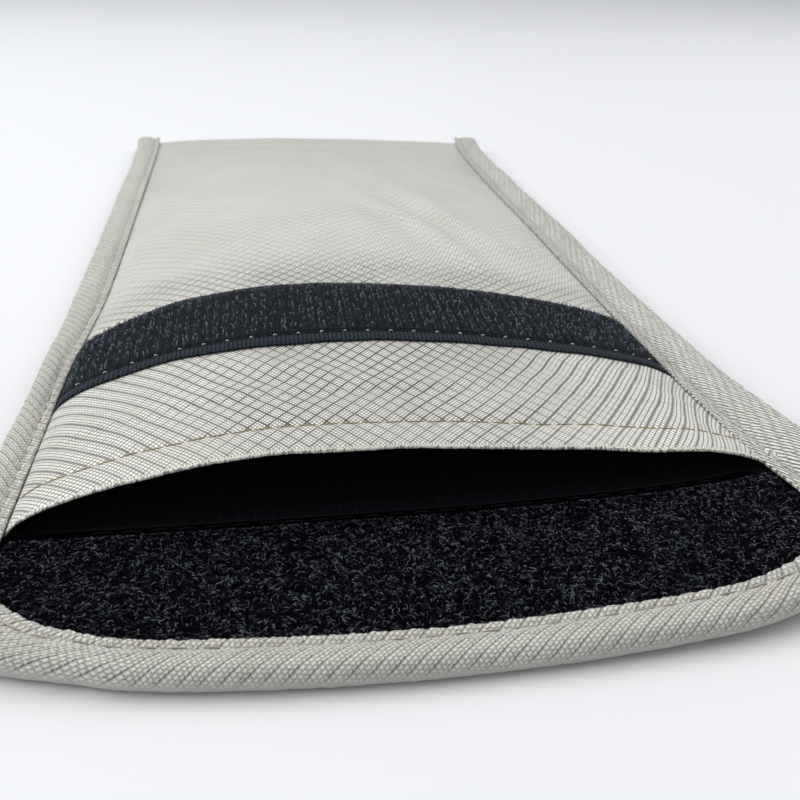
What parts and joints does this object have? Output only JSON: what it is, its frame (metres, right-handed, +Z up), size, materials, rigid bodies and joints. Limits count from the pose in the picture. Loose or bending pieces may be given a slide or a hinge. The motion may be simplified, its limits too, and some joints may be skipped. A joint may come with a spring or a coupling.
{
  "type": "lipo safe bag",
  "caption": "Slim fold-over pouch of silver ripstop cloth with bound edges, a black lining and a hook-and-loop closure, for a flat battery pack.",
  "frame": {"origin": "middle of the resting face, half way along the pouch and its open flap", "axes": "+X to the right across the pouch, +Y towards the closed end, +Z up from the resting face"},
  "size_m": [0.105, 0.228, 0.0151],
  "materials": {
    "outer_cloth": "silver-grey metallised ripstop, soft sheen",
    "barrier_cloth": "plain grey woven barrier layer",
    "lining_cloth": "black plain-woven lining",
    "binding_tape": "grey-beige herringbone binding tape",
    "hook_base": "dark woven hook tape base",
    "hook_field": "fine moulded hooks, matt",
    "loop_base": "black knitted loop tape base",
    "loop_pile": "near-black brushed loop pile",
    "seam_thread": "light grey sewing thread",
    "hem_thread": "pale tan sewing thread",
    "dark_thread": "mid grey sewing thread"
  },
  "bodies": {
    "pouch": {"back_cloth": "outer_cloth", "front_cloth": "outer_cloth", "back_barrier": "barrier_cloth", "front_barrier": "barrier_cloth", "back_lining": "lining_cloth", "front_lining": "lining_cloth", "side_binding_left": "binding_tape", "side_binding_right": "binding_tape", "hook_tape": "hook_base", "hook_field": "hook_field", "side_thread_left": "seam_thread", "side_thread_right": "seam_thread", "hook_thread_front": "dark_thread", "hook_thread_back": "dark_thread"},
    "flap": {"lip_cloth": "outer_cloth", "lip_lining": "lining_cloth", "hem_thread": "hem_thread", "flap_cloth": "outer_cloth", "flap_barrier": "barrier_cloth", "flap_lining": "lining_cloth", "flap_binding": "binding_tape", "flap_thread": "seam_thread", "loop_backing": "loop_base", "loop_pile": "loop_pile", "loop_thread": "dark_thread"}
  },
  "joints": [
    {"name": "flap_fold", "type": "hinge", "parent": "pouch", "child": "flap", "pos_m": [0, -0.0735, 0.0062], "axis": [-1, 0, 0], "range_deg": [0, 180], "deforming": ["front_cloth", "front_barrier", "front_lining", "hook_tape", "hook_field", "hook_thread_front", "hook_thread_back", "lip_cloth", "lip_lining", "hem_thread"]}
  ]
}
